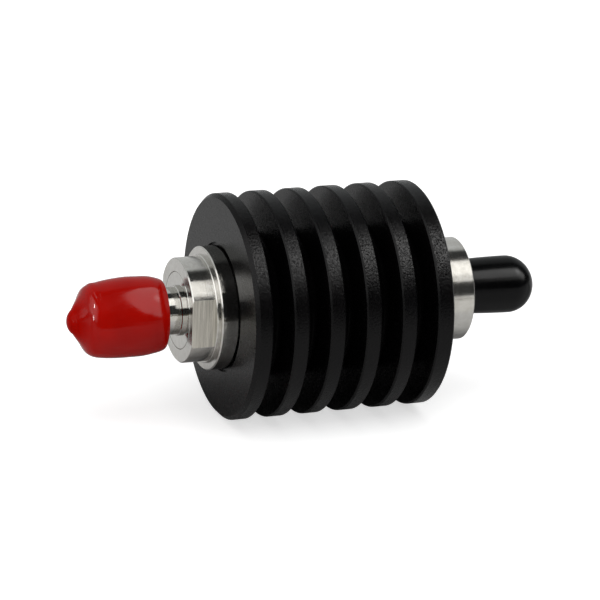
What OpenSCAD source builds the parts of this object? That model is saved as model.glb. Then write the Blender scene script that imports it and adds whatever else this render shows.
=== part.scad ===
// Fixed coaxial attenuator: a finned heat sink between a threaded plug and a threaded jack,
// each under a soft push-on cap. The axis is X, and x = 0 is the plug's reference plane.

/* [Heat sink] */
// Outside diameter of the fins
sink_d = 30; // [26:0.5:36]
// Number of fins
fin_count = 6; // [5:1:8]
// Distance from one fin to the next
fin_pitch = 5; // [4.5:0.1:6]
// Thickness of each fin
fin_t = 2.1; // [1.6:0.1:2.6]
// Extra thickness of the front fin
front_fin_extra = 0.2; // [0:0.1:0.8]
// Extra thickness of the rear fin
rear_fin_extra = 0.15; // [0:0.05:0.8]
// Diameter at the bottom of the grooves
root_d = 19; // [18:0.5:22]
// Chamfer on the rim of each fin
fin_chamfer = 0.2; // [0.1:0.05:0.4]
// Wider chamfer round the front face of the front fin
front_chamfer = 0.5; // [0.2:0.05:0.8]
// Radius where a fin meets the core
root_fillet = 0.5; // [0.2:0.1:0.8]
// Diameter of the bore through the heat sink
sink_bore_d = 12; // [11.5:0.1:12.5]
// Depth of the recess in the front face that the collar seats in
recess_depth = 0.4; // [0.1:0.1:0.8]
// Gap round the collar in the recess
recess_gap = 0.4; // [0.1:0.05:0.6]

/* [Input housing] */
// Diameter of the part with the wrench flats
flats_d = 13.9; // [13.5:0.1:14.2]
// Distance across the two wrench flats
flats_af = 12.3; // [11.6:0.1:13]
// Length of the part with the wrench flats
flats_len = 3.1; // [2.5:0.1:5]
// Diameter of the narrow step behind the flats
step_d = 14.4; // [14.3:0.1:15]
// Width of the narrow step
step_w = 0.35; // [0.25:0.05:1]
// Diameter of the polished collar
collar_d = 16.4; // [15.5:0.1:17.5]
// Width of the collar in front of the heat sink
collar_w = 2.3; // [1.5:0.1:4]

/* [Output housing] */
// Diameter of the ring behind the heat sink
output_d = 13.8; // [13:0.1:16]
// Length of the ring behind the heat sink
output_len = 6.35; // [4:0.05:9]

/* [Connector flanges] */
// Diameter of the flanges pressed into the two housings
flange_d = 10.3; // [9.5:0.1:11]
// Thickness of the flanges
flange_t = 2; // [1.5:0.1:2.5]
// Edge break round the flanges' visible faces
flange_break = 0.1; // [0.05:0.01:0.15]

/* [Plug] */
// Distance from the reference plane to the input housing's face
plug_reach = 8.2; // [7.6:0.1:10]
// Diameter of the shank that the nut turns on
shank_d = 6.3; // [6:0.05:6.4]
// Diameter of the narrow shoulder at the foot of the shank
shoulder_d = 6.7; // [6.5:0.05:7]
// Width of that shoulder
shoulder_w = 0.45; // [0.2:0.05:0.8]
// Outside diameter of the tube that enters the mating jack
tube_d = 4.57; // [4.5:0.01:4.6]
// Distance from the reference plane to the shank's front
tube_len = 2.6; // [2.4:0.05:2.8]
// Thickness of the gasket on the shank's front
gasket_t = 0.65; // [0.4:0.05:0.8]
// Diameter of the centre pin
pin_d = 0.92; // [0.88:0.01:0.96]
// Reach of the centre pin past the reference plane
pin_reach = 2.2; // [1.9:0.05:2.5]

/* [Coupling nut] */
// Distance across the nut's flats
nut_af = 8; // [7.9:0.05:8.1]
// Diameter that the nut's corners are turned to
nut_corner_d = 8.8; // [8.6:0.05:9]
// Reach of the nut past the reference plane
nut_reach = 2.9; // [2.6:0.1:3.4]
// Length of the nut
nut_len = 7.2; // [6.8:0.1:7.8]
// Root diameter of the nut's inside thread
nut_thread_d = 6.4; // [6.36:0.02:6.46]
// Chamfer at both ends of the nut's hexagon
nut_chamfer = 0.35; // [0.2:0.05:0.5]

/* [Retaining ring] */
// Thickness of the ring along the axis
ring_t = 0.45; // [0.35:0.05:0.6]
// Inside diameter of the ring
ring_in_d = 5.6; // [5.4:0.05:5.8]
// Outside diameter of the ring
ring_out_d = 7; // [6.9:0.05:7.1]
// Width of the split in the ring
ring_split = 1; // [0.5:0.1:2]
// Distance from the shank's front to the ring
ring_setback = 0.7; // [0.5:0.05:0.9]

/* [Jack] */
// Outside diameter of the jack's thread
jack_thread_d = 6.35; // [6.2:0.01:6.4]
// Reach of the jack past the output housing
jack_len = 9; // [8:0.1:11]
// Diameter of the smooth lead in front of the thread
jack_lead_d = 5.4; // [5.2:0.05:5.6]
// Length of the smooth lead
jack_lead_len = 0.4; // [0.2:0.05:0.6]
// Length of the cone from the thread to the lead
jack_chamfer = 0.5; // [0.3:0.05:0.7]
// Diameter of the undercut behind the thread
undercut_d = 5.5; // [5.3:0.05:5.8]
// Width of the undercut
undercut_w = 1; // [0.6:0.1:1.6]
// Diameter of the recess that takes the mating plug's tube
jack_recess_d = 4.6; // [4.58:0.01:4.8]
// Depth of that recess
jack_recess = 1.93; // [1.88:0.01:2]
// Bore of the socket contact
socket_bore_d = 0.94; // [0.9:0.01:1]
// Depth of the socket's bore
socket_depth = 2.8; // [2.4:0.1:3.5]
// Width of the slots in the socket
socket_slot = 0.16; // [0.1:0.02:0.24]
// Length of the slots in the socket
socket_slot_len = 2.1; // [1.5:0.1:2.3]

/* [Coaxial line] */
// Diameter of the white insulators
dielectric_d = 4.1; // [4:0.05:4.2]
// Diameter of the centre conductors
conductor_d = 1.27; // [1.2:0.01:1.4]
// Diameter of the air line in the housings
airline_d = 2.92; // [2.8:0.02:3.2]
// Diameter of the support beads
bead_d = 5.6; // [5:0.1:6.2]
// Length of the support beads
bead_len = 2; // [1.2:0.1:3]

/* [Attenuator element] */
// Length of the two carrier blocks
carrier_len = 13.3; // [12.8:0.1:14]
// Width of the channel over the chip
channel_w = 4; // [3:0.1:4.6]
// Height of the channel over the chip
channel_h = 2.4; // [1.5:0.1:3]
// Length of the ceramic chip
chip_len = 9; // [8:0.1:10]
// Width of the ceramic chip
chip_w = 6.4; // [6:0.1:7.4]
// Thickness of the ceramic chip
chip_t = 0.635; // [0.4:0.005:1]
// Length of the resistor film
film_len = 4.6; // [3.5:0.1:5]
// Width of the resistor film
film_w = 5.6; // [5.2:0.1:5.9]
// Thickness of the film and of the terminal pads
film_t = 0.05; // [0.03:0.01:0.1]
// Width of the terminal pads
pad_w = 2; // [1.6:0.1:2.4]
// Width of the tabs
tab_w = 1.1; // [0.9:0.05:1.2]
// Thickness of the tabs
tab_t = 0.15; // [0.1:0.01:0.25]
// Length of a tab over its pad
tab_lap = 1.2; // [0.8:0.1:1.5]

/* [Red cap] */
// Largest diameter of the red cap
red_cap_d = 10.6; // [10.2:0.1:11.5]
// Taper of the red cap towards its nose, on the diameter
red_cap_taper = 0.6; // [0.2:0.1:0.8]
// Reach of the red cap past the nut's front
red_cap_nose = 4; // [3.6:0.1:5]
// Reach of the red cap past the nut's back
red_cap_skirt = 1.75; // [1:0.05:2]
// Diameter of the nub on the red cap's nose
nub_d = 3.5; // [2.8:0.1:4]
// Length of the nub
nub_len = 0.8; // [0.5:0.1:1]
// Thickness of the red cap's end wall inside the shoulder
red_cap_end = 1.7; // [1.2:0.1:2.2]

/* [Black cap] */
// Largest diameter of the black cap
black_cap_d = 7.75; // [7.6:0.05:8.4]
// Taper of the black cap towards its mouth, on the diameter
black_cap_taper = 0.4; // [0:0.05:0.5]
// Length of the rounded end
black_cap_dome = 3.7; // [3:0.1:4.2]
// Thickness of the end wall
black_cap_end = 0.6; // [0.5:0.1:1]
// Space between the jack's end and the cap's inside, along the axis
black_cap_space = 1.55; // [1.3:0.05:2.5]
// Gap between the mouth and the output housing
black_cap_gap = 0.5; // [0.2:0.1:1]

/* [Fits] */
// Space round a piece that is pressed or soldered in
seat_gap = 0.02; // [0.01:0.01:0.03]
// Radial space between the nut and the shank
running_gap = 0.1; // [0.05:0.01:0.15]
// Radial space between a cap and what it covers
cap_gap = 0.1; // [0.05:0.01:0.15]
// Edge break on turned steel edges
edge_break = 0.15; // [0.05:0.05:0.2]

/* [Hidden] */

// Facets of a full turn, for large and for small pieces
large_fn = 96;
small_fn = 48;
// Room for a cutting shape past the face that it cuts
over = 1;

// Stations along the axis
nut_front_x = -nut_reach;
nut_back_x = nut_front_x + nut_len;
ring_x = tube_len + ring_setback;
shoulder_x = plug_reach - shoulder_w;
face_x = plug_reach;
step_x = face_x + flats_len;
collar_x = step_x + step_w;
sink_x = collar_x + collar_w;
recess_end_x = sink_x + recess_depth;
sink_end_x = sink_x + front_fin_extra + (fin_count - 1) * fin_pitch + fin_t + rear_fin_extra;
output_end_x = sink_end_x + output_len;
jack_end_x = output_end_x + jack_len;
jack_plane_x = jack_end_x - jack_recess;
jack_thread_end_x = jack_end_x - jack_lead_len - jack_chamfer;
carrier_x = (sink_x + sink_end_x - carrier_len) / 2;
carrier_end_x = carrier_x + carrier_len;
chip_x = carrier_x + (carrier_len - chip_len) / 2;
chip_end_x = chip_x + chip_len;

// Radii and heights that more than one piece uses
spigot_r = sink_bore_d / 2 - seat_gap;
conductor_r = conductor_d / 2;
insulator_bore_r = conductor_r + seat_gap;
nut_bore_r = shank_d / 2 + running_gap;
ring_groove_w = ring_t + 0.1;
ring_groove_depth = 0.1;
red_cap_bore_r = nut_corner_d / 2 + cap_gap;
black_cap_bore_r = jack_thread_d / 2 + cap_gap;
chip_top_z = -film_t;
tab_top_z = tab_t;

// A solid of revolution about X, from points of the form [x, radius]
module turned(points, fn = small_fn)
    rotate([0, 90, 0])
        rotate_extrude($fn = fn)
            polygon([for (p = points) [p[1], p[0]]]);

// A box that is centred across the axis
module bar(x, length, width, z, height)
    translate([x, -width / 2, z])
        cube([length, width, height]);

// Points on the smooth curve from a to d, with b and c as its handles
function curve(a, b, c, d, steps = 6) = [
    for (i = [1:steps])
        let (t = i / steps, s = 1 - t)
            s * s * s * a + 3 * s * s * t * b + 3 * s * t * t * c + t * t * t * d
];

// Points on a quarter of an ellipse, from the full radius towards the axis
function dome(x, length, radius, steps = 10) = [
    for (i = [0:steps])
        let (a = 90 * i / steps)
            [x + length * sin(a), radius * cos(a)]
];

function reversed(points) = [for (i = [len(points) - 1:-1:0]) points[i]];

module red_cap() {
    tip_x = nut_front_x - red_cap_nose;
    mouth_x = nut_back_x + red_cap_skirt;
    full_r = red_cap_d / 2;
    nose_r = full_r - red_cap_taper / 2;
    nub_x = tip_x + nub_len;
    shoulder_end_x = nut_front_x + 0.3;
    flare_x = (nub_x + nub_x + shoulder_end_x) / 3 + 0.1;
    flare_r = nub_d / 2 + 0.6 * (nose_r - nub_d / 2);
    rim_x = mouth_x - 2.1;
    rim_r = full_r - 0.19;
    mouth_r = red_cap_bore_r + 0.1;
    cavity_x = tip_x + red_cap_end + nub_len;
    color([0.72, 0.02, 0.02])
        turned(concat(
            [[tip_x, 0]],
            curve([tip_x, 0], [tip_x, 0.5 * nub_d / 2], [tip_x + 0.45 * nub_len, 0.8 * nub_d / 2],
                  [nub_x, nub_d / 2]),
            curve([nub_x, nub_d / 2], [nub_x + 0.4, nub_d / 2 + 0.65], [flare_x - 0.3, flare_r - 0.6],
                  [flare_x, flare_r]),
            curve([flare_x, flare_r], [flare_x + 0.5, flare_r + 0.95], [shoulder_end_x - 1.2, nose_r - 0.2],
                  [shoulder_end_x, nose_r], 8),
            curve([shoulder_end_x, nose_r], [shoulder_end_x + 2, full_r + 0.03], [rim_x - 1.7, full_r + 0.1],
                  [rim_x, rim_r], 8),
            curve([rim_x, rim_r], [rim_x + 1.1, rim_r - 0.19], [mouth_x, mouth_r + 0.3],
                  [mouth_x, mouth_r]),
            [[mouth_x, red_cap_bore_r], [nut_front_x - 0.2, red_cap_bore_r]],
            curve([nut_front_x - 0.2, red_cap_bore_r], [cavity_x + 0.1, red_cap_bore_r],
                  [cavity_x, 0.8 * red_cap_bore_r], [cavity_x, 0])
        ), large_fn);
}

module coupling_nut() {
    corner_r = nut_corner_d / 2;
    hexagon_r = nut_af / 2 / cos(30);
    thread_end_x = tube_len - gasket_t - 0.05;
    groove_x = ring_x - (ring_groove_w - ring_t) / 2;
    groove_r = ring_out_d / 2 + ring_groove_depth;
    thread_r = nut_thread_d / 2;
    color("silver")
        intersection() {
            translate([nut_front_x, 0, 0])
                rotate([0, 90, 0])
                    cylinder(h = nut_len, r = hexagon_r, $fn = 6);
            turned([
                [nut_front_x, corner_r - nut_chamfer], [nut_front_x + nut_chamfer, corner_r],
                [nut_back_x - nut_chamfer, corner_r], [nut_back_x, corner_r - nut_chamfer],
                [nut_back_x, nut_bore_r],
                [groove_x + ring_groove_w, nut_bore_r], [groove_x + ring_groove_w, groove_r],
                [groove_x, groove_r], [groove_x, nut_bore_r],
                [thread_end_x, nut_bore_r], [thread_end_x, thread_r],
                [nut_front_x + 0.3, thread_r], [nut_front_x, thread_r + 0.25],
            ]);
        }
}

module retaining_ring()
    color("goldenrod")
        difference() {
            turned([
                [ring_x, ring_in_d / 2], [ring_x, ring_out_d / 2],
                [ring_x + ring_t, ring_out_d / 2], [ring_x + ring_t, ring_in_d / 2],
            ]);
            bar(ring_x - over, ring_t + 2 * over, ring_split, 0, ring_out_d);
        }

module plug_gasket()
    color("orangered")
        turned([
            [tube_len - gasket_t, tube_d / 2 + seat_gap], [tube_len - gasket_t, shank_d / 2 - seat_gap],
            [tube_len, shank_d / 2 - seat_gap], [tube_len, tube_d / 2 + seat_gap],
        ]);

module plug_body() {
    groove_x = ring_x - (ring_groove_w - ring_t) / 2;
    groove_r = ring_in_d / 2 - ring_groove_depth;
    shank_r = shank_d / 2;
    tube_r = tube_d / 2;
    bore_r = dielectric_d / 2;
    shoulder_r = shoulder_d / 2;
    shoulder_break = min(0.1, (shoulder_r - shank_r) / 2);
    color("silver")
        turned([
            [0, bore_r], [0, tube_r - 0.08], [0.08, tube_r],
            [tube_len, tube_r], [tube_len, shank_r],
            [groove_x, shank_r], [groove_x, groove_r],
            [groove_x + ring_groove_w, groove_r], [groove_x + ring_groove_w, shank_r],
            [shoulder_x, shank_r], [shoulder_x, shoulder_r - shoulder_break],
            [shoulder_x + shoulder_break, shoulder_r],
            [face_x, shoulder_r], [face_x, flange_d / 2 - flange_break],
            [face_x + flange_break, flange_d / 2], [face_x + flange_t, flange_d / 2],
            [face_x + flange_t, bore_r],
        ]);
}

module plug_dielectric()
    color("ivory")
        turned([
            [0, insulator_bore_r], [0, dielectric_d / 2 - seat_gap],
            [face_x + flange_t, dielectric_d / 2 - seat_gap], [face_x + flange_t, insulator_bore_r],
        ]);

// The end of a centre conductor, cut flat where it lies on its tab
module conductor_seat(x)
    bar(x, chip_x - carrier_x + over, 2 * conductor_d, -conductor_d + tab_top_z, conductor_d);

module plug_pin() {
    tail_x = chip_x - seat_gap;
    color("gold")
        difference() {
            turned([
                [-pin_reach, 0], [-pin_reach, 0.15], [-pin_reach + 0.5, pin_d / 2],
                [0, pin_d / 2], [0, conductor_r], [tail_x, conductor_r], [tail_x, 0],
            ]);
            conductor_seat(carrier_x);
        }
}

module input_housing() {
    flats_r = flats_d / 2;
    bead_x = carrier_x - bead_len - seat_gap;
    flange_x = face_x + flange_t + seat_gap;
    collar_r = collar_d / 2;
    step_r = step_d / 2;
    step_break = min(0.1, (step_r - flats_r) / 2);
    color("lightgray")
        difference() {
            turned([
                [face_x, flats_r - edge_break], [face_x + edge_break, flats_r],
                [step_x, flats_r], [step_x, step_r - step_break], [step_x + step_break, step_r],
                [collar_x, step_r], [collar_x, collar_r - edge_break],
                [collar_x + edge_break, collar_r], [recess_end_x, collar_r],
                [recess_end_x, spigot_r], [carrier_x, spigot_r],
                [carrier_x, bead_d / 2], [bead_x, bead_d / 2],
                [bead_x, airline_d / 2], [flange_x, airline_d / 2],
                [flange_x, flange_d / 2 + seat_gap], [face_x, flange_d / 2 + seat_gap],
            ], large_fn);
            for (side = [0, 180])
                rotate([side, 0, 0])
                    translate([face_x - over, flats_af / 2, -flats_d])
                        cube([flats_len + over, flats_d, 2 * flats_d]);
        }
}

module bead(x)
    color("khaki")
        turned([
            [x, insulator_bore_r], [x, bead_d / 2 - seat_gap],
            [x + bead_len, bead_d / 2 - seat_gap], [x + bead_len, insulator_bore_r],
        ]);

module input_bead() bead(carrier_x - bead_len);

module output_bead() bead(carrier_end_x);

// A flat gold strip, half under a conductor's end and half over a pad, where x is the chip's end
module tab(x)
    color("gold")
        bar(x - tab_lap, 2 * tab_lap, tab_w, 0, tab_t);

module input_tab() tab(chip_x);

module output_tab() tab(chip_end_x);

// The round bar that both carrier blocks are cut from
module carrier_bar()
    turned([[carrier_x, 0], [carrier_x, spigot_r], [carrier_end_x, spigot_r], [carrier_end_x, 0]]);

module upper_carrier()
    color("peru")
        intersection() {
            carrier_bar();
            difference() {
                bar(carrier_x, carrier_len, sink_bore_d, 0, sink_bore_d);
                bar(carrier_x - over, carrier_len + 2 * over, channel_w, -over, channel_h + over);
            }
        }

module lower_carrier()
    color("peru")
        intersection() {
            carrier_bar();
            difference() {
                bar(carrier_x, carrier_len, sink_bore_d, -sink_bore_d, sink_bore_d);
                bar(chip_x - seat_gap, chip_len + 2 * seat_gap, chip_w + 2 * seat_gap,
                    chip_top_z - chip_t, chip_t + film_t + over);
                for (x = [carrier_x - over, chip_end_x])
                    bar(x, chip_x - carrier_x + over, channel_w, -channel_h, channel_h + over);
            }
        }

module attenuator_chip()
    color("white")
        bar(chip_x, chip_len, chip_w, chip_top_z - chip_t, chip_t);

module resistor_film()
    color("dimgray")
        bar(chip_x + (chip_len - film_len) / 2, film_len, film_w, chip_top_z, film_t);

module terminal_pads() {
    pad_len = (chip_len - film_len) / 2;
    color("gold")
        for (x = [chip_x, chip_end_x - pad_len])
            bar(x, pad_len, pad_w, chip_top_z, film_t);
}

// Front face of a fin, counted from 0 at the front
function fin_x(i) = sink_x + (i == 0 ? 0 : front_fin_extra + i * fin_pitch);

// Back face of a fin
function fin_end_x(i) = i == fin_count - 1 ? sink_end_x : sink_x + front_fin_extra + i * fin_pitch + fin_t;

// Size of a fin's front chamfer
function front_break(i) = i == 0 ? front_chamfer : fin_chamfer;

// The rim of a fin with its two chamfers
function fin_rim(i) = [
    [fin_x(i), sink_d / 2 - front_break(i)], [fin_x(i) + front_break(i), sink_d / 2],
    [fin_end_x(i) - fin_chamfer, sink_d / 2], [fin_end_x(i), sink_d / 2 - fin_chamfer]
];

// A quarter round at the foot of a fin. Way is 1 behind the fin and -1 in front of it
function fin_foot(x, way) = [
    for (i = [0:4])
        let (a = way > 0 ? 22.5 * i : 90 - 22.5 * i)
            [x + way * root_fillet * (1 - cos(a)), root_d / 2 + root_fillet * (1 - sin(a))]
];

module heat_sink() {
    recess_r = collar_d / 2 + recess_gap;
    last = fin_count - 1;
    color([0.07, 0.07, 0.075])
        turned(concat(
            [[recess_end_x, sink_bore_d / 2], [recess_end_x, recess_r], [sink_x, recess_r]],
            [for (i = [0:last - 1]) each concat(
                fin_rim(i), fin_foot(fin_end_x(i), 1), fin_foot(fin_x(i + 1), -1)
            )],
            fin_rim(last),
            [[sink_end_x, sink_bore_d / 2]]
        ), large_fn);
}

module output_housing() {
    ring_r = output_d / 2;
    bead_end_x = carrier_end_x + bead_len + seat_gap;
    flange_x = output_end_x - flange_t - seat_gap;
    color("lightgray")
        turned([
            [carrier_end_x, bead_d / 2], [carrier_end_x, spigot_r],
            [sink_end_x, spigot_r], [sink_end_x, ring_r],
            [output_end_x - edge_break, ring_r], [output_end_x, ring_r - edge_break],
            [output_end_x, flange_d / 2 + seat_gap], [flange_x, flange_d / 2 + seat_gap],
            [flange_x, airline_d / 2], [bead_end_x, airline_d / 2],
            [bead_end_x, bead_d / 2],
        ], large_fn);
}

module jack_body() {
    thread_r = jack_thread_d / 2;
    lead_r = jack_lead_d / 2;
    lead_x = jack_end_x - jack_lead_len;
    flange_x = output_end_x - flange_t;
    bore_r = dielectric_d / 2;
    color("silver")
        turned([
            [flange_x, bore_r], [flange_x, flange_d / 2],
            [output_end_x - flange_break, flange_d / 2], [output_end_x, flange_d / 2 - flange_break],
            [output_end_x, undercut_d / 2], [output_end_x + undercut_w, undercut_d / 2],
            [output_end_x + undercut_w + 0.3, thread_r],
            [jack_thread_end_x, thread_r], [lead_x, lead_r], [jack_end_x, lead_r],
            [jack_end_x, jack_recess_d / 2], [jack_plane_x, jack_recess_d / 2],
            [jack_plane_x, bore_r],
        ]);
}

module jack_dielectric()
    color("ivory")
        turned([
            [output_end_x - flange_t, insulator_bore_r],
            [output_end_x - flange_t, dielectric_d / 2 - seat_gap],
            [jack_plane_x, dielectric_d / 2 - seat_gap], [jack_plane_x, insulator_bore_r],
        ]);

module jack_contact() {
    tail_x = chip_end_x + seat_gap;
    socket_r = socket_bore_d / 2;
    color("gold")
        difference() {
            turned([
                [tail_x, 0], [tail_x, conductor_r], [jack_plane_x, conductor_r],
                [jack_plane_x, socket_r + 0.05], [jack_plane_x - 0.05, socket_r],
                [jack_plane_x - socket_depth, socket_r], [jack_plane_x - socket_depth - 0.3, 0],
            ]);
            conductor_seat(chip_end_x - over);
            for (turn = [0, 90])
                rotate([turn, 0, 0])
                    bar(jack_plane_x - socket_slot_len, socket_slot_len + over, conductor_d + over,
                        -socket_slot / 2, socket_slot);
        }
}

module black_cap() {
    mouth_x = output_end_x + black_cap_gap;
    cavity_end_x = jack_end_x + black_cap_space;
    tip_x = cavity_end_x + black_cap_end;
    cap_r = black_cap_d / 2;
    mouth_r = cap_r - black_cap_taper / 2;
    dome_x = tip_x - black_cap_dome;
    color([0.03, 0.03, 0.035])
        turned(concat(
            [[mouth_x, black_cap_bore_r], [mouth_x, mouth_r - 0.1], [mouth_x + 0.1, mouth_r]],
            curve([mouth_x + 0.1, mouth_r], [mouth_x + 2, mouth_r + 0.1],
                  [dome_x - 2.5, cap_r], [dome_x, cap_r], 8),
            dome(dome_x, black_cap_dome, cap_r),
            reversed(dome(jack_thread_end_x, cavity_end_x - jack_thread_end_x, black_cap_bore_r))
        ), large_fn);
}

red_cap();
coupling_nut();
retaining_ring();
plug_gasket();
plug_body();
plug_dielectric();
plug_pin();
input_housing();
input_bead();
input_tab();
upper_carrier();
lower_carrier();
attenuator_chip();
resistor_film();
terminal_pads();
output_tab();
output_bead();
heat_sink();
output_housing();
jack_body();
jack_dielectric();
jack_contact();
black_cap();
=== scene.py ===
"""Looks, studio and camera for a fixed coaxial attenuator with a cap on each connector.

Sizes and places are in millimetres along the part's own axes, and MM turns them into metres
where a mesh, a lamp or the camera is made. The part's axis is X.
"""
import math

import bpy
import bmesh
from mathutils import Matrix, Vector


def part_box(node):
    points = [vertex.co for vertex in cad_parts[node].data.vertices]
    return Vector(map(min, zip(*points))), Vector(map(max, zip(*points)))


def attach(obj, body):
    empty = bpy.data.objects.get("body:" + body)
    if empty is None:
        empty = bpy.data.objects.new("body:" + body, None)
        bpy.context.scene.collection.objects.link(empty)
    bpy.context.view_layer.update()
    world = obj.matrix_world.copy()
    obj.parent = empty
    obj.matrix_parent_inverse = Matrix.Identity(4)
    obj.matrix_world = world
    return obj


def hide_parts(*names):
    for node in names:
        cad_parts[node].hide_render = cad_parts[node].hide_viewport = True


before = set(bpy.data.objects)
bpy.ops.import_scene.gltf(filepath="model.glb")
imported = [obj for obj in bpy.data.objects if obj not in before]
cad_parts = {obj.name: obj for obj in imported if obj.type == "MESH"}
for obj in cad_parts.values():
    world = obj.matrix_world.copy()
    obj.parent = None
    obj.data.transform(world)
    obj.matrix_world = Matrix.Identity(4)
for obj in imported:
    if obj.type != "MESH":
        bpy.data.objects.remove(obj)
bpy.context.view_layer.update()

MM = 0.001
CAP_SIDES = 160
THREAD_SIDES = 96
SOFT_EDGE = 60
HARD_EDGE = 30


def span(node):
    """Lowest and highest corner of a CAD node at rest, in millimetres."""
    low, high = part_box(node)
    return low / MM, high / MM


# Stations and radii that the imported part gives, with a little room about the insulator and the
# gasket
NUT_LOW = span("coupling_nut")[0]
RED_LOW, RED_HIGH = span("red_cap")
BLACK_LOW, BLACK_HIGH = span("black_cap")
JACK_LOW, JACK_HIGH = span("jack_body")
SINK_LOW, SINK_HIGH = span("heat_sink")
OUTPUT_HIGH = span("output_housing")[1]
JACK_BORE_R = span("jack_dielectric")[1].z + 0.02
JACK_PLANE_X = span("jack_dielectric")[1].x
NUT_THREAD_END_X = span("plug_gasket")[0].x - 0.05

# The 1/4-36 thread
PITCH = 25.4 / 36
THREAD_R = 3.175
THREAD_ROOT_R = 2.75
NUT_ROOT_R = 3.18
NUT_CREST_R = 2.92

# Radii that tell a turned piece's surfaces apart, for the materials: the grooves between the
# fins, and the flats and the collar of the input housing
GROOVE_R = 10.2
FLAT_R = 7.0
COLLAR_R = 7.6

# A surface is an end face where its normal has more of X than this
END_FACE = 0.6


# Curves and meshes

def curve(a, b, c, d, steps=16):
    """Points on the smooth curve from a to d, with b and c as its handles."""
    a, b, c, d = (Vector(p) for p in (a, b, c, d))
    points = []
    for i in range(1, steps + 1):
        t = i / steps
        s = 1 - t
        points.append(s ** 3 * a + 3 * s * s * t * b + 3 * s * t * t * c + t ** 3 * d)
    return points


def arc(centre, radii, start, end, steps=8):
    """Points on an ellipse in the profile plane, from one angle to another, in degrees."""
    points = []
    for i in range(steps + 1):
        a = math.radians(start + (end - start) * i / steps)
        points.append(Vector((centre[0] + radii[0] * math.cos(a),
                              centre[1] + radii[1] * math.sin(a))))
    return points


def ring(mesh, x, radius, count, drop=0.0, lean=0.0):
    """A circle of vertices about X, or one vertex where it meets the axis.

    Drop is how far below the axis it sits, and lean is how far its far side goes along X.
    """
    if radius < 1e-6:
        return [mesh.verts.new((x * MM, 0, -drop * MM))]
    made = []
    for j in range(count):
        a = math.tau * j / count
        y = -radius * math.cos(a)
        z = radius * math.sin(a) - drop
        made.append(mesh.verts.new(((x + lean * y) * MM, y * MM, z * MM)))
    return made


def bridge(mesh, a, b):
    """Faces between two rings of the same count, or between a ring and a point."""
    count = max(len(a), len(b))
    for j in range(count):
        k = (j + 1) % count
        corners = [a[j % len(a)], a[k % len(a)], b[k % len(b)], b[j % len(b)]]
        unique = list(dict.fromkeys(corners))
        if len(unique) > 2:
            mesh.faces.new(unique)


def add_turned(mesh, profile, count, closed=True, hang=None):
    """Turns a profile of (x, radius) points about X, into the mesh.

    Hang, where it is given, holds the drop and the lean of each point's ring.
    """
    hang = hang or [(0.0, 0.0)] * len(profile)
    rings = [ring(mesh, p[0], p[1], count, *h) for p, h in zip(profile, hang)]
    pairs = list(zip(rings, rings[1:]))
    if closed:
        pairs.append((rings[-1], rings[0]))
    for a, b in pairs:
        if len(a) > 1 or len(b) > 1:
            bridge(mesh, a, b)


def finish_mesh(name, mesh, sharp):
    """Makes an object of the mesh, smooth but for edges of more than the sharp angle, in degrees."""
    bmesh.ops.remove_doubles(mesh, verts=mesh.verts, dist=2e-7)
    bmesh.ops.dissolve_degenerate(mesh, edges=mesh.edges, dist=1e-8)
    bmesh.ops.recalc_face_normals(mesh, faces=mesh.faces)
    data = bpy.data.meshes.new(name)
    mesh.to_mesh(data)
    mesh.free()
    data.shade_smooth()
    data.set_sharp_from_angle(angle=math.radians(sharp))
    made = bpy.data.objects.new(name, data)
    bpy.context.scene.collection.objects.link(made)
    return made


def thread_form(phase):
    """Height of a 60 degree thread, from 0 at its root to 1 at its crest, over one turn's pitch."""
    root_half = 0.1
    flank = 0.32
    rise = (min(phase, 1 - phase) - root_half) / flank
    return min(1, max(0, rise))


def add_thread(mesh, start, end, root, crest, limit, count):
    """A helical thread's surface, of so many rows a turn.

    Limit gives the height that is left at a place along it.
    """
    rows = 24
    turns = math.ceil((end - start) / PITCH) + 1
    lines = []
    for k in range(rows * turns + 1):
        height = thread_form(k % rows / rows)
        line = []
        for j in range(count):
            x = start + (k / rows + j / count - 1) * PITCH
            x = min(end, max(start, x))
            r = root + (crest - root) * min(height, limit(x))
            a = math.tau * j / count
            line.append(mesh.verts.new((x * MM, -r * math.cos(a) * MM, r * math.sin(a) * MM)))
        lines.append(line)
    last = len(lines) - 1
    for k in range(last):
        for j in range(count):
            if j + 1 < count:
                corners = [lines[k][j], lines[k + 1][j], lines[k + 1][j + 1], lines[k][j + 1]]
            else:
                a = min(k + rows, last)
                b = min(k + 1 + rows, last)
                corners = [lines[k][j], lines[k + 1][j], lines[b][0], lines[a][0]]
            unique = list(dict.fromkeys(corners))
            if len(unique) > 2:
                mesh.faces.new(unique)


# Pieces

def smooth(value, low, high):
    """From 0 at low to 1 at high, with soft ends."""
    t = min(1, max(0, (value - low) / (high - low)))
    return t * t * (3 - 2 * t)


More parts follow.
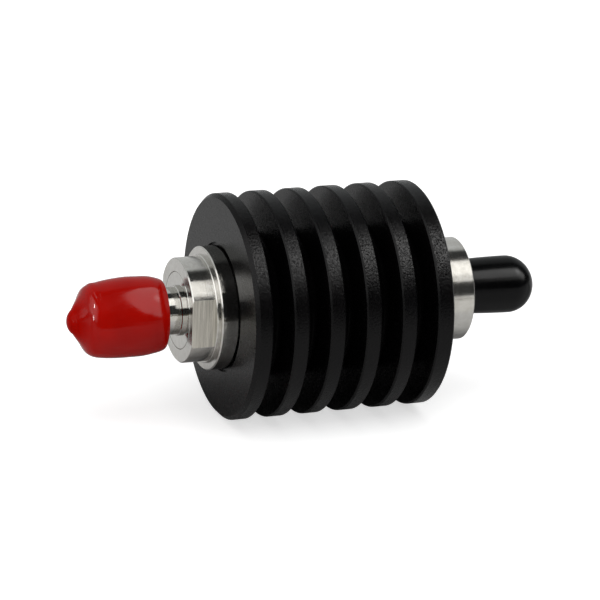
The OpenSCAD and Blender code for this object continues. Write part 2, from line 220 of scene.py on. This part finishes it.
def red_cap_skin(tip_x, mouth_x, full_r, lip_r):
    """The outside of the red cap: its nub, its flared nose, its body and its rounded mouth."""
    nose_r = full_r - 0.31
    nub_r = 1.68
    nub_x = tip_x + 0.8
    shoulder_x = NUT_LOW.x + 0.3
    flare_x = (nub_x + nub_x + shoulder_x) / 3 + 0.1
    flare_r = nub_r + 0.6 * (nose_r - nub_r)
    rim_x = mouth_x - 1.8
    rim_r = full_r - 0.17
    points = [Vector((tip_x, 0))]
    points += curve((tip_x, 0), (tip_x, 0.5 * nub_r), (nub_x - 0.44, 0.8 * nub_r), (nub_x, nub_r))
    points += curve((nub_x, nub_r), (nub_x + 0.4, nub_r + 0.65), (flare_x - 0.3, flare_r - 0.6),
                    (flare_x, flare_r))
    points += curve((flare_x, flare_r), (flare_x + 0.5, flare_r + 0.95),
                    (shoulder_x - 1.2, nose_r - 0.2), (shoulder_x, nose_r), 24)
    points += curve((shoulder_x, nose_r), (shoulder_x + 2, full_r + 0.03),
                    (rim_x - 1.7, full_r + 0.1), (rim_x, rim_r), 24)
    points += curve((rim_x, rim_r), (rim_x + 0.9, rim_r - 0.14), (mouth_x - 0.03, lip_r + 0.3),
                    (mouth_x, lip_r + 0.12), 24)
    return points


def red_cap_lining(tip_x, mouth_x, lip_r):
    """The inside of the red cap, from its lip to the end of its cavity."""
    bore_r = 4.5
    cavity_x = tip_x + 2.5
    points = curve((mouth_x, lip_r + 0.12), (mouth_x, lip_r + 0.03), (mouth_x - 0.03, lip_r),
                   (mouth_x - 0.12, lip_r), 4)
    points += curve((mouth_x - 0.12, lip_r), (mouth_x - 0.7, lip_r + 0.03),
                    (mouth_x - 1.1, bore_r), (mouth_x - 1.7, bore_r), 8)
    points += [Vector((mouth_x - 3, bore_r))]
    points += curve((NUT_LOW.x - 0.2, bore_r), (cavity_x + 0.1, bore_r),
                    (cavity_x, 0.8 * bore_r), (cavity_x, 0))
    return points


def red_cap():
    """The soft cap over the plug's nut. It hangs a little low, and its mouth is a little askew."""
    tip_x = RED_LOW.x
    mouth_x = RED_HIGH.x
    lip_r = 4.42
    skin = red_cap_skin(tip_x, mouth_x, RED_HIGH.z, lip_r)
    lining = red_cap_lining(tip_x, mouth_x, lip_r)

    def lean(x):
        """How askew the cap is at x, which is only near its mouth."""
        return 0.07 * smooth(x, mouth_x - 3.5, mouth_x)

    def sag(x):
        """How far below the axis the skin sits at x."""
        droop = 0.2 + 0.03 * (mouth_x - x) - 0.12 * smooth(-x, 3, 5)
        droop += 0.07 * smooth(x, mouth_x - 5, mouth_x - 3)
        return droop + 0.11 * smooth(x, mouth_x - 2, mouth_x)

    hang = [(sag(p.x), lean(p.x)) for p in skin]
    hang += [(sag(mouth_x) * smooth(p.x, mouth_x - 1.7, mouth_x), lean(p.x)) for p in lining]
    mesh = bmesh.new()
    add_turned(mesh, skin + lining, CAP_SIDES, closed=False, hang=hang)
    return finish_mesh("red_cap_shell", mesh, SOFT_EDGE)


def black_cap():
    """The soft cap over the jack. It widens a little from its mouth, and its round end droops."""
    mouth_x = BLACK_LOW.x
    tip_x = BLACK_HIGH.x - 0.1
    cap_r = 3.88
    mouth_r = cap_r - 0.22
    dome_len = 3.7
    dome_x = tip_x - dome_len
    bore_r = 3.275
    cavity_x = tip_x - 0.6
    bore_end_x = JACK_HIGH.x - 0.9
    outside = curve((mouth_x, bore_r + 0.05), (mouth_x, mouth_r - 0.1), (mouth_x + 0.05, mouth_r),
                    (mouth_x + 0.3, mouth_r + 0.02), 8)
    outside += curve((mouth_x + 0.3, mouth_r + 0.02), (mouth_x + 2, mouth_r + 0.1),
                     (dome_x - 2.5, cap_r), (dome_x, cap_r), 16)
    outside += arc((dome_x, 0), (dome_len, cap_r), 90, 0, 40)[1:]
    outside[-1].y = 0
    inside = arc((bore_end_x, 0), (cavity_x - bore_end_x, bore_r), 0, 90, 20)
    inside[0].y = 0
    inside += [Vector((mouth_x, bore_r))]
    droop = 0.023
    lift = 0.12
    hang = [(droop * (p.x - mouth_x) - lift, 0.0) for p in outside]
    hang += [(0.0, 0.0) for p in inside]
    mesh = bmesh.new()
    add_turned(mesh, outside + inside, CAP_SIDES, hang=hang)
    return finish_mesh("black_cap_shell", mesh, SOFT_EDGE)


def threaded_jack():
    """The jack's steel body with the turns of its thread."""
    front_x = JACK_HIGH.x
    flange_x = JACK_LOW.x
    seat_x = OUTPUT_HIGH.x
    flange_r = JACK_HIGH.z
    undercut_r = THREAD_ROOT_R
    start_x = seat_x + 1
    lead_r = 2.7
    lead_x = front_x - 0.4
    recess_r = 2.3

    def limit(x):
        """The thread runs out at its start and has a lead cone at its end."""
        runout = (x - start_x) / 0.3
        cone = (lead_x - x) / 0.5
        return min(1, max(0, min(runout, cone)))

    mesh = bmesh.new()
    add_thread(mesh, start_x, lead_x, THREAD_ROOT_R, THREAD_R, limit, THREAD_SIDES)
    outline = [(lead_x, undercut_r), (lead_x + 0.04, lead_r), (front_x - 0.08, lead_r),
               (front_x, lead_r - 0.08), (front_x, recess_r + 0.05), (front_x - 0.05, recess_r),
               (JACK_PLANE_X, recess_r), (JACK_PLANE_X, JACK_BORE_R), (flange_x, JACK_BORE_R),
               (flange_x, flange_r), (seat_x - 0.05, flange_r), (seat_x, flange_r - 0.05),
               (seat_x, undercut_r), (start_x, undercut_r)]
    add_turned(mesh, outline, THREAD_SIDES, closed=False)
    return finish_mesh("jack_shell", mesh, HARD_EDGE)


def nut_thread():
    """The turns of the nut's inside thread, on a thin sleeve sunk in the nut's wall."""
    start_x = NUT_LOW.x + 0.31
    end_x = NUT_THREAD_END_X - 0.01
    sunk_r = 3.23

    def limit(x):
        """The thread runs out at both ends."""
        return min(1, max(0, min(x - start_x, end_x - x) / 0.35))

    mesh = bmesh.new()
    add_thread(mesh, start_x, end_x, NUT_ROOT_R, NUT_CREST_R, limit, THREAD_SIDES)
    sleeve = [(end_x, NUT_ROOT_R), (end_x, sunk_r), (start_x, sunk_r), (start_x, NUT_ROOT_R)]
    add_turned(mesh, sleeve, THREAD_SIDES, closed=False)
    return finish_mesh("nut_thread", mesh, HARD_EDGE)


# Materials

def shader_nodes(name):
    """A new material, its node tree and its main shader."""
    made = bpy.data.materials.new(name)
    made.use_nodes = True
    tree = made.node_tree
    return made, tree, tree.nodes["Principled BSDF"]


def add(tree, kind, inputs, **settings):
    """A node with its settings, and with its inputs set to values or linked to sockets."""
    made = tree.nodes.new(kind)
    for key, value in settings.items():
        setattr(made, key, value)
    for key, value in inputs.items():
        if isinstance(value, bpy.types.NodeSocket):
            tree.links.new(value, made.inputs[key])
        else:
            made.inputs[key].default_value = value
    return made


def sums(tree, operation, *values, clamp=False):
    """The result of a maths node."""
    return add(tree, "ShaderNodeMath", dict(enumerate(values)), operation=operation,
               use_clamp=clamp).outputs[0]


def blend_colours(tree, share, a, b):
    """The colour from a at share 0 to b at share 1."""
    made = add(tree, "ShaderNodeMix", {}, data_type="RGBA")
    for key, value in (("Factor_Float", share), ("A_Color", a), ("B_Color", b)):
        socket = next(s for s in made.inputs if s.identifier == key)
        if isinstance(value, bpy.types.NodeSocket):
            tree.links.new(value, socket)
        else:
            socket.default_value = value if key == "Factor_Float" else (*value, 1)
    return next(s for s in made.outputs if s.identifier == "Result_Color")


def spread(tree, value, low, high, to_low, to_high):
    """Value from the range low to high, moved to another range."""
    return add(tree, "ShaderNodeMapRange", {0: value, 1: low, 2: high, 3: to_low,
                                            4: to_high}).outputs[0]


def tone(tree, noise):
    """Noise, spread from 0 to 1."""
    return spread(tree, noise, 0.35, 0.65, 0, 1)


def choose(tree, share, a, b):
    """The value from a at share 0 to b at share 1."""
    return add(tree, "ShaderNodeMix", {0: share, 2: a, 3: b}, data_type="FLOAT").outputs[0]


def join(tree, shader, **sockets):
    """Links sockets to the shader's inputs, named with _ for a space."""
    for name, socket in sockets.items():
        tree.links.new(socket, shader.inputs[name.replace("_", " ")])


class Place:
    """Sockets for a point's place on the part, in millimetres, and for its normal."""

    def __init__(self, tree):
        coordinates = tree.nodes.new("ShaderNodeTexCoord")
        scaled = add(tree, "ShaderNodeVectorMath", {0: coordinates.outputs["Object"],
                                                    3: 1 / MM}, operation="SCALE")
        parts = add(tree, "ShaderNodeSeparateXYZ", {0: scaled.outputs[0]})
        normal = add(tree, "ShaderNodeSeparateXYZ", {0: coordinates.outputs["Normal"]})
        self.tree = tree
        self.point = scaled.outputs[0]
        self.x, self.y, self.z = parts.outputs
        flat = add(tree, "ShaderNodeCombineXYZ", {1: self.y, 2: self.z})
        self.radius = add(tree, "ShaderNodeVectorMath", {0: flat.outputs[0]},
                          operation="LENGTH").outputs["Value"]
        self.spoke = add(tree, "ShaderNodeVectorMath", {0: flat.outputs[0]},
                         operation="NORMALIZE").outputs[0]
        self.normal_x = sums(tree, "ABSOLUTE", normal.outputs[0])
        self.normal_y = sums(tree, "ABSOLUTE", normal.outputs[1])
        self.normal_z = normal.outputs[2]

    def noise(self, scale, detail=3, roughness=0.5, vector=None):
        """Noise of about one change in 1/scale millimetres."""
        made = add(self.tree, "ShaderNodeTexNoise", {
            "Vector": vector or self.point, "Scale": scale, "Detail": detail,
            "Roughness": roughness})
        return made.outputs[0]

    def tool_marks(self, spacing, drift=0.35):
        """Fine rings from the lathe: they follow X on cylinders and the radius on end faces."""
        on_face = sums(self.tree, "GREATER_THAN", self.normal_x, END_FACE)
        along = choose(self.tree, on_face, self.x, self.radius)
        steps = add(self.tree, "ShaderNodeCombineXYZ", {
            0: sums(self.tree, "MULTIPLY", along, 1 / spacing)}).outputs[0]
        vector = add(self.tree, "ShaderNodeVectorMath", {
            0: self.spoke, 1: (drift, drift, drift), 2: steps},
            operation="MULTIPLY_ADD").outputs[0]
        return self.noise(1, 4, 0.65, vector)


def bump(tree, height, distance, below=None):
    """A bump whose height is in units of the distance, in millimetres, over one below it."""
    inputs = {"Height": height, "Distance": distance * MM, "Strength": 1.0}
    if below:
        inputs["Normal"] = below
    return add(tree, "ShaderNodeBump", inputs).outputs[0]


def housing_marks(tree, place, fine, colour, rough, height):
    """Brushes the wrench flats, and makes the collar behind them smoother and mottled."""
    square = 0.9995
    flat = sums(tree, "MULTIPLY", sums(tree, "GREATER_THAN", place.normal_y, square),
                sums(tree, "LESS_THAN", place.radius, FLAT_R))
    rough = sums(tree, "ADD", rough, sums(tree, "MULTIPLY", flat, 0.1))
    brushed = place.tool_marks(0.13, 0.9)
    scores = sums(tree, "ADD", spread(tree, brushed, 0.3, 0.7, 1.0, -0.35),
                  spread(tree, fine, 0.3, 0.7, 0.4, -0.15))
    streak = sums(tree, "MULTIPLY", flat, scores, clamp=True)
    colour = blend_colours(tree, flat, colour, (0.70, 0.675, 0.615))
    colour = blend_colours(tree, streak, colour, (0.40, 0.38, 0.345))
    on_collar = sums(tree, "MULTIPLY", sums(tree, "GREATER_THAN", place.radius, COLLAR_R),
                     sums(tree, "LESS_THAN", place.normal_x, 0.3))
    rough = sums(tree, "SUBTRACT", rough, sums(tree, "MULTIPLY", on_collar, 0.09))
    mottle = sums(tree, "MULTIPLY", on_collar, place.noise(1.6, 4, 0.6))
    height = sums(tree, "ADD", height, sums(tree, "MULTIPLY", mottle, 0.01))
    return colour, rough, height


def turned_steel(name, roughness, grooved, marks, waves, flats=False):
    """Passivated stainless steel with the fine rings of turning.

    Grooved, from 0 to 1, is how far the rings stretch a highlight across themselves. Marks and
    waves are the heights of the rings and of the slow unevenness, in millimetres. With flats, it
    has the marks of the input housing too.
    """
    made, tree, shader = shader_nodes(name)
    place = Place(tree)
    fine = place.tool_marks(0.07, 0.3)
    broad = place.tool_marks(0.26, 0.15)
    stain = tone(tree, place.noise(1.1, 5, 0.65))
    colour = blend_colours(tree, stain, (0.56, 0.545, 0.51), (0.66, 0.65, 0.62))
    rough = spread(tree, fine, 0.3, 0.7, roughness - 0.04, roughness + 0.05)
    height = sums(tree, "MULTIPLY", broad, marks)
    if flats:
        colour, rough, height = housing_marks(tree, place, fine, colour, rough, height)
    normal = bump(tree, place.noise(0.9, 2, 0.4), waves)
    normal = bump(tree, height, 1.0, normal)
    tangent = add(tree, "ShaderNodeTangent", {}, direction_type="RADIAL", axis="X").outputs[0]
    shader.inputs["Metallic"].default_value = 1
    shader.inputs["Anisotropic"].default_value = grooved
    shader.inputs["Anisotropic Rotation"].default_value = 0.25
    join(tree, shader, Base_Color=colour, Roughness=rough, Normal=normal, Tangent=tangent)
    return made


def black_anodised():
    """Satin black anodised aluminium, blasted, with glints painted on the rims' upper side.

    It glints more towards the output end. Painted shade dulls the gloss in the grooves' bottoms.
    """
    made, tree, shader = shader_nodes("black_anodised")
    place = Place(tree)
    grain = place.noise(3.6, 3, 0.7)
    sparkle = spread(tree, place.noise(4.6, 2, 0.75), 0.38, 0.66, -0.13, 0.23)
    sparkle = sums(tree, "MULTIPLY", sparkle, spread(tree, place.x, 19, 38, 0.7, 1.25))
    rings = place.tool_marks(0.2, 0.2)
    cloud = tone(tree, place.noise(0.12, 3, 0.5))
    on_rim = sums(tree, "LESS_THAN", place.normal_x, END_FACE)
    colour = blend_colours(tree, cloud, (0.0010, 0.0010, 0.0013), (0.0022, 0.0018, 0.0020))
    rough = spread(tree, grain, 0.3, 0.7, 0.15, 0.25)
    rough = sums(tree, "ADD", rough, spread(tree, on_rim, 0, 1, 0.09, 0.0))
    # Painted glints: the gloss speckle shows only where the rims face up into the highlight
    above = spread(tree, place.normal_z, 0.25, 0.55, 0, 1)
    above = sums(tree, "MULTIPLY", above, spread(tree, place.normal_z, 0.7, 0.85, 1, 0.5))
    painted_glint = sums(tree, "MULTIPLY", sparkle, sums(tree, "MULTIPLY", above, on_rim))
    # Painted shade: the gloss is turned down in the bottoms of the grooves, so they show darker
    groove_shade = sums(tree, "MULTIPLY", on_rim, sums(tree, "LESS_THAN", place.radius, GROOVE_R))
    level = sums(tree, "ADD", spread(tree, groove_shade, 0, 1, 0.17, 0.04), painted_glint)
    height = sums(tree, "MULTIPLY", grain, spread(tree, on_rim, 0, 1, 0.012, 0.055))
    normal = bump(tree, height, 1.0)
    normal = bump(tree, rings, 0.002, normal)
    join(tree, shader, Specular_IOR_Level=level, Base_Color=colour, Roughness=rough,
         Normal=normal)
    return made


def moulded_vinyl(name, dark, light, roughness, gloss, nub_x=None):
    """Glossy dipped vinyl: slow waves in the skin, a faint orange peel and a few fine scuffs.

    Left of nub_x, where the last drop dried, it is dull.
    """
    made, tree, shader = shader_nodes(name)
    place = Place(tree)
    waves = place.noise(0.22, 2, 0.4)
    peel = place.noise(2.5, 2, 0.5)
    scuffs = place.noise(0.9, 5, 0.7)
    colour = blend_colours(tree, tone(tree, waves), dark, light)
    rough = spread(tree, scuffs, 0.4, 0.75, roughness, roughness + 0.08)
    normal = bump(tree, waves, 0.06)
    normal = bump(tree, peel, 0.002, normal)
    shader.inputs["Specular IOR Level"].default_value = gloss
    if nub_x:
        dull = 0.02
        level = spread(tree, place.x, nub_x - 0.4, nub_x + 0.4, dull, gloss)
        join(tree, shader, Specular_IOR_Level=level)
    join(tree, shader, Base_Color=colour, Roughness=rough, Normal=normal)
    return made


def plain_metal(name, dark, light, roughness):
    """A plated or bare metal with fine tool marks and a slight change of tone."""
    made, tree, shader = shader_nodes(name)
    place = Place(tree)
    rings = place.tool_marks(0.04)
    colour = blend_colours(tree, tone(tree, place.noise(0.8, 3)), dark, light)
    rough = spread(tree, rings, 0.3, 0.7, roughness - 0.05, roughness + 0.06)
    shader.inputs["Metallic"].default_value = 1
    join(tree, shader, Base_Color=colour, Roughness=rough, Normal=bump(tree, rings, 0.001))
    return made


def soft_solid(name, dark, light, roughness, scale, depth):
    """A plastic, resin, rubber or ceramic with a fine grain and a slight change of tone."""
    made, tree, shader = shader_nodes(name)
    place = Place(tree)
    grain = place.noise(scale, 4, 0.6)
    colour = blend_colours(tree, tone(tree, place.noise(scale / 6, 3)), dark, light)
    rough = spread(tree, grain, 0.3, 0.7, roughness - 0.06, roughness + 0.06)
    join(tree, shader, Base_Color=colour, Roughness=rough, Normal=bump(tree, grain, depth))
    return made


def paint(node, material):
    """Gives a CAD node its material."""
    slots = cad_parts[node].data.materials
    slots.clear()
    slots.append(material)


# Stage

def stage_material(name):
    """A new material with an empty node tree, its tree and its output."""
    made = bpy.data.materials.new(name)
    made.use_nodes = True
    tree = made.node_tree
    tree.nodes.clear()
    output = tree.nodes.new("ShaderNodeOutputMaterial")
    return made, tree, output


def floor():
    """A pale floor, under the heat sink, that shows white to the camera but for the shadow.

    It ends near the part at the front left, where polished steel mirrors the dark room. Under the
    part it has a painted shadow, which every ray but the camera's meets.
    """
    far = 2000
    corner_x, corner_y = 75, -115
    outline = ((-far, far), (far, far), (far, -far), (corner_x, -far), (corner_x, corner_y),
               (-far, corner_y))
    mesh = bmesh.new()
    mesh.faces.new([mesh.verts.new((x * MM, y * MM, 0)) for x, y in reversed(outline)])
    data = bpy.data.meshes.new("floor")
    mesh.to_mesh(data)
    mesh.free()
    made = bpy.data.objects.new("floor", data)
    made.location = ((SINK_LOW.x + SINK_HIGH.x) / 2 * MM, 0, (SINK_LOW.z - 0.05) * MM)
    bpy.context.scene.collection.objects.link(made)
    shade_y = 5.5
    material, tree, output = stage_material("pale_floor")
    diffuse = add(tree, "ShaderNodeBsdfDiffuse", {"Color": (0.8, 0.8, 0.8, 1)})
    lift = add(tree, "ShaderNodeEmission", {"Color": (1, 1, 1, 1), "Strength": 0.6})
    seen = add(tree, "ShaderNodeAddShader", {0: diffuse.outputs[0], 1: lift.outputs[0]})
    # Painted shadow: a darker strip of floor under the part, for every ray but the camera's
    across = sums(tree, "ABSOLUTE", sums(tree, "SUBTRACT", Place(tree).y, shade_y))
    mirrored = add(tree, "ShaderNodeBsdfDiffuse", {
        "Color": spread(tree, across, 6, 14, 0.4, 0.8)})
    path = tree.nodes.new("ShaderNodeLightPath")
    mixed = add(tree, "ShaderNodeMixShader", {0: path.outputs["Is Camera Ray"],
                                              1: mirrored.outputs[0], 2: seen.outputs[0]})
    tree.links.new(mixed.outputs[0], output.inputs["Surface"])
    data.materials.append(material)


def room():
    """A white background, which gloss meets behind the part, in a room that is dim above."""
    world = bpy.data.worlds.new("room")
    bpy.context.scene.world = world
    world.use_nodes = True
    tree = world.node_tree
    tree.nodes.clear()
    output = tree.nodes.new("ShaderNodeOutputWorld")
    path = tree.nodes.new("ShaderNodeLightPath")
    direction = tree.nodes.new("ShaderNodeTexCoord")
    parts = add(tree, "ShaderNodeSeparateXYZ", {0: direction.outputs["Generated"]})
    dim = 0.03
    bright = 0.40
    gloss = spread(tree, parts.outputs["Y"], 0.28, 0.42, dim, bright)
    mirrored = add(tree, "ShaderNodeMath", {0: path.outputs["Is Glossy Ray"],
                                            1: path.outputs["Is Transmission Ray"]},
                   operation="MAXIMUM").outputs[0]
    ambient = 0.48
    white = 1.0
    level = choose(tree, mirrored, ambient, gloss)
    level = choose(tree, path.outputs["Is Camera Ray"], level, white)
    tint = blend_colours(tree, mirrored, (1, 1, 1), (0.965, 1, 1))
    background = add(tree, "ShaderNodeBackground", {"Color": tint, "Strength": level})
    tree.links.new(background.outputs[0], output.inputs["Surface"])


# The point that the camera looks at, and that the lamps are placed about
AIM = Vector((25.67, 0.71, -0.22))


def shape_lamp(data, size, turn):
    """Makes the lamp a disc, a rectangle or an oval, and gives its area in square metres."""
    data.size = size[0] * MM
    if len(size) == 1:
        data.shape = "DISK"
        return math.pi / 4 * data.size ** 2
    data.size_y = size[1] * MM
    area = data.size * data.size_y
    if turn is None:
        data.shape = "RECTANGLE"
        return area
    data.shape = "ELLIPSE"
    return area * (math.pi / 4)


def lamp(name, direction, distance, size, radiance, facing=None, shows="all", on=(), off=(),
         turn=None):
    """A soft lamp in a direction from the middle of the part, as bright as radiance.

    It faces the part, or the other way from facing. Two sizes make a rectangle, with its width
    level, and one makes a disc. With a turn in degrees the two make an oval, turned about the
    way that it faces. It shows in everything, or only as gloss or as matt light. Where pieces are
    given, it lights only those, or all but those.
    """
    data = bpy.data.lights.new(name, "AREA")
    data.energy = radiance * math.pi * shape_lamp(data, size, turn)
    made = bpy.data.objects.new(name, data)
    towards = Vector(direction).normalized()
    made.location = (AIM + towards * distance) * MM
    out = Vector(facing).normalized() if facing else towards
    aimed = out.to_track_quat("Z", "Y").to_matrix()
    made.rotation_euler = (aimed @ Matrix.Rotation(math.radians(turn or 0), 3, "Z")).to_euler()
    made.visible_glossy = shows != "matt"
    made.visible_diffuse = shows != "gloss"
    bpy.context.scene.collection.objects.link(made)
    if on or off:
        chosen = bpy.data.collections.new(name)
        for piece in on or off:
            chosen.objects.link(piece)
        if off:
            for piece in chosen.collection_objects:
                piece.light_linking.link_state = "EXCLUDE"
        made.light_linking.receiver_collection = chosen
    return made


def key_lamps(black_piece, sink, red_piece):
    """A long softbox at the right, level with X, and its brighter image in the dark gloss.

    The dark pieces mirror its upper part a little nearer, because mirrored light meets only one
    of two lamps in the same plane. The red cap mirrors it as an oval, with a bright middle.
    """
    tilt = math.radians(64)
    back = Vector((0, -math.cos(tilt), math.sin(tilt)))
    up = Vector((0, math.sin(tilt), math.cos(tilt)))
    level = Vector((1, 0, 0))
    upper = back * 500 + level * 665 - up * 16
    lower = back * 500 + level * 725 - up * 247
    middle = back * 480 + level * 620 - up * 30
    panels = (("upper", upper, (1150, 332), 1.4), ("lower", lower, (1000, 130), 1.4),
              ("middle", middle, (1050, 190), 0.2))
    for name, place, size, radiance in panels:
        key = lamp("key_" + name, place, place.length, size, radiance, facing=back,
                   shows="gloss", off=(red_piece,))
        key.data.color = (1, 0.985, 0.955)
    nearer = 0.98
    dark = upper * nearer
    lamp("dark_key", dark, dark.length, (1150, 330), 2.55, facing=back, shows="gloss",
         on=(black_piece, sink))
    core = (0.64, -0.25, 0.72)
    lamp("core_wide", core, 460, (240,), 1.5, shows="gloss", on=(black_piece,))
    lamp("core", core, 450, (120,), 4, shows="gloss", on=(black_piece,))
    oval = back * 500 + level * 640 - up * 115
    lamp("red_key", oval, oval.length, (1400, 1000), 3.9, facing=back, shows="gloss",
         on=(red_piece,), turn=-50)
    spot = back * 490 + level * 340 + up * 70
    lamp("red_core", spot, spot.length, (200,), 4, facing=back, shows="gloss", on=(red_piece,))


def camera():
    """The camera of the photograph: its place about the part, its tilt and its lens."""
    distance = 482.04
    azimuth = -21.18
    elevation = 18.43
    roll = 2.32
    data = bpy.data.cameras.new("camera")
    data.sensor_width = 36
    data.lens = 217.4
    data.clip_start = 0.01
    data.clip_end = 20
    a = math.radians(azimuth)
    e = math.radians(elevation)
    back = Vector((math.sin(a) * math.cos(e), -math.cos(a) * math.cos(e), math.sin(e)))
    made = bpy.data.objects.new("camera", data)
    made.location = (AIM + back * distance) * MM
    level = (-back).to_track_quat("-Z", "Y").to_matrix()
    tilted = level @ Matrix.Rotation(math.radians(roll), 3, "Z")
    made.rotation_euler = tilted.to_euler()
    bpy.context.scene.collection.objects.link(made)
    bpy.context.scene.camera = made


def finishes():
    """Every material, by a short name."""
    return {
        "steel": turned_steel("stainless", 0.19, 0.5, 0.003, 0.012),
        "flat_steel": turned_steel("stainless_brushed", 0.19, 0.75, 0.003, 0.012, flats=True),
        "bright_steel": turned_steel("stainless_polished", 0.1, 0.3, 0.002, 0.012),
        "gold": plain_metal("gold", (0.80, 0.58, 0.24), (0.88, 0.67, 0.32), 0.18),
        "bronze": plain_metal("spring_bronze", (0.62, 0.42, 0.22), (0.70, 0.50, 0.30), 0.24),
        "copper": plain_metal("copper", (0.70, 0.38, 0.24), (0.78, 0.46, 0.32), 0.26),
        "ptfe": soft_solid("ptfe", (0.80, 0.80, 0.77), (0.86, 0.86, 0.84), 0.42, 3.0, 0.002),
        "resin": soft_solid("bead_resin", (0.55, 0.33, 0.10), (0.66, 0.42, 0.15), 0.32, 2.0,
                            0.002),
        "ceramic": soft_solid("ceramic", (0.80, 0.80, 0.77), (0.86, 0.86, 0.83), 0.5, 8.0,
                              0.001),
        "film": soft_solid("resistive_film", (0.08, 0.075, 0.075), (0.12, 0.11, 0.11), 0.5, 9,
                           0.001),
        "silicone": soft_solid("silicone", (0.62, 0.16, 0.05), (0.72, 0.22, 0.08), 0.5, 3.0,
                               0.002),
        "red": moulded_vinyl("red_vinyl", (0.36, 0.0024, 0.0005), (0.41, 0.003, 0.0006), 0.11,
                             0.16, nub_x=RED_LOW.x + 1.5),
        "black": moulded_vinyl("black_vinyl", (0.0010, 0.0010, 0.0013),
                               (0.0020, 0.0020, 0.0022), 0.18, 0.16),
        "anodised": black_anodised(),
    }


def paint_nodes(finish):
    """Gives every CAD node its material."""
    wearers = {
        "anodised": ("heat_sink",),
        "flat_steel": ("input_housing",),
        "bright_steel": ("plug_body",),
        "steel": ("output_housing", "coupling_nut", "jack_body"),
        "bronze": ("retaining_ring",),
        "silicone": ("plug_gasket",),
        "ptfe": ("plug_dielectric", "jack_dielectric"),
        "gold": ("plug_pin", "input_tab", "output_tab", "terminal_pads", "jack_contact"),
        "resin": ("input_bead", "output_bead"),
        "copper": ("upper_carrier", "lower_carrier"),
        "ceramic": ("attenuator_chip",),
        "film": ("resistor_film",),
        "red": ("red_cap",),
        "black": ("black_cap",),
    }
    for name, nodes in wearers.items():
        for node in nodes:
            paint(node, finish[name])


def add_pieces(finish):
    """Makes the pieces that the CAD leaves to this script, and gives them by name."""
    pieces = (
        (red_cap(), "red", "red_vinyl", "plug_cap", "red_cap"),
        (black_cap(), "black", "black_vinyl", "jack_cap", "black_cap"),
        (threaded_jack(), "steel", "stainless", "root", "jack_body"),
        (nut_thread(), "steel", "stainless", "coupling", None),
    )
    for piece, name, slot, body, node in pieces:
        piece.data.materials.append(finish[name])
        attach(piece, body)
        if node:
            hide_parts(node)
    return {row[0].name: row[0] for row in pieces}


def lights(made):
    """Sets the lamps. Some show in one piece alone, or only in the bright steel."""
    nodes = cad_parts
    red_piece = made["red_cap_shell"]
    key_lamps(made["black_cap_shell"], nodes["heat_sink"], red_piece)
    lamp("side", (-0.85, -0.1, 0.5), 500, (400, 450), 1.6, shows="gloss")
    lamp("side_red", (-0.85, -0.1, 0.5), 490, (620, 440), 1.6, shows="gloss", on=(red_piece,))
    lamp("bulb_high", (-0.781, -0.102, 0.616), 480, (60,), 110, shows="gloss", on=(red_piece,))
    lamp("bulb_low", (-0.989, -0.102, 0.111), 480, (60,), 60, shows="gloss", on=(red_piece,))
    bright = [made["jack_shell"], made["nut_thread"]]
    bright += [nodes[name] for name in ("input_housing", "output_housing", "plug_body",
                                        "coupling_nut", "retaining_ring")]
    lamp("backdrop", (0, 1, 0), 600, (3000, 3000), 0.2, shows="gloss", on=bright)
    card = lamp("low_card", (0, -425, -14.6), 425.25, (800, 800), 0.1, facing=(0, 0, -1),
                shows="gloss", on=bright)
    card.data.color = (1, 0.93, 0.7)
    lamp("side_front", (-0.45, -0.5, 0.72), 520, (400, 400), 1.5, shows="gloss", on=bright)
    lamp("fill", (0.1, -0.35, 0.93), 900, (900, 900), 1.4, shows="matt")
    lamp("fill_left", (-1, -0.2, 0.1), 700, (500, 500), 2.0, shows="matt")


def build():
    """Dresses every piece and sets the stage."""
    finish = finishes()
    paint_nodes(finish)
    made = add_pieces(finish)
    floor()
    room()
    lights(made)
    camera()
    bpy.context.scene.view_settings.view_transform = "Standard"


build()
